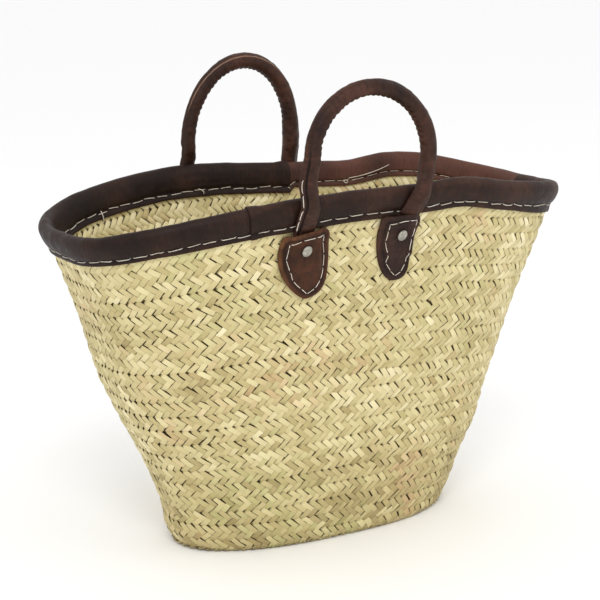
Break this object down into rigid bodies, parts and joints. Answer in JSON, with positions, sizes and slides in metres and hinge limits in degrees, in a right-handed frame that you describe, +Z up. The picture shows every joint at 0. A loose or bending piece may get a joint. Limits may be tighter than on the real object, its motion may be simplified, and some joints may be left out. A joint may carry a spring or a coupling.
{
  "type": "woven market basket",
  "caption": "Oblong plaited palm-leaf market basket that widens to a rolled leather rim, with tilting rope-cored leather carrying handles.",
  "frame": {"origin": "middle of the base's underside, where the basket rests", "axes": "+X along the basket's length, +Z up, -Y the front side"},
  "size_m": [0.5192, 0.2923, 0.4571],
  "materials": {
    "palm_leaf": "dry plaited palm leaf, matt with a faint sheen",
    "rope": "twisted palm-fibre rope, matt",
    "rim_leather": "dark brown goatskin, wrinkled, low sheen",
    "handle_leather": "dark brown goatskin, wrinkled, low sheen",
    "patch_leather": "brown leather with a raw tan edge",
    "rivet_steel": "dull plated steel"
  },
  "bodies": {
    "basket": {"base_mat": "palm_leaf", "wall_plait": "palm_leaf", "rim_rope": "rope", "rim_binding_left": "rim_leather", "rim_binding_right": "rim_leather", "front_left_leg": "handle_leather", "front_left_patch": "patch_leather", "front_left_rivet": "rivet_steel", "front_left_burr": "rivet_steel", "front_right_leg": "handle_leather", "front_right_patch": "patch_leather", "front_right_rivet": "rivet_steel", "front_right_burr": "rivet_steel", "back_left_leg": "handle_leather", "back_left_patch": "patch_leather", "back_left_rivet": "rivet_steel", "back_left_burr": "rivet_steel", "back_right_leg": "handle_leather", "back_right_patch": "patch_leather", "back_right_rivet": "rivet_steel", "back_right_burr": "rivet_steel"},
    "front_handle": {"front_handle_sleeve": "handle_leather", "front_handle_rope": "rope"},
    "back_handle": {"back_handle_sleeve": "handle_leather", "back_handle_rope": "rope"}
  },
  "joints": [
    {"name": "front_handle_tilt", "type": "hinge", "parent": "basket", "child": "front_handle", "pos_m": [-0.013, -0.138, 0.363], "axis": [1, 0, 0], "range_deg": [-60, 75], "stiffness_Nm_per_rad": 0.15},
    {"name": "back_handle_tilt", "type": "hinge", "parent": "basket", "child": "back_handle", "pos_m": [-0.002, 0.138, 0.363], "axis": [-1, 0, 0], "range_deg": [-60, 75], "stiffness_Nm_per_rad": 0.15}
  ]
}
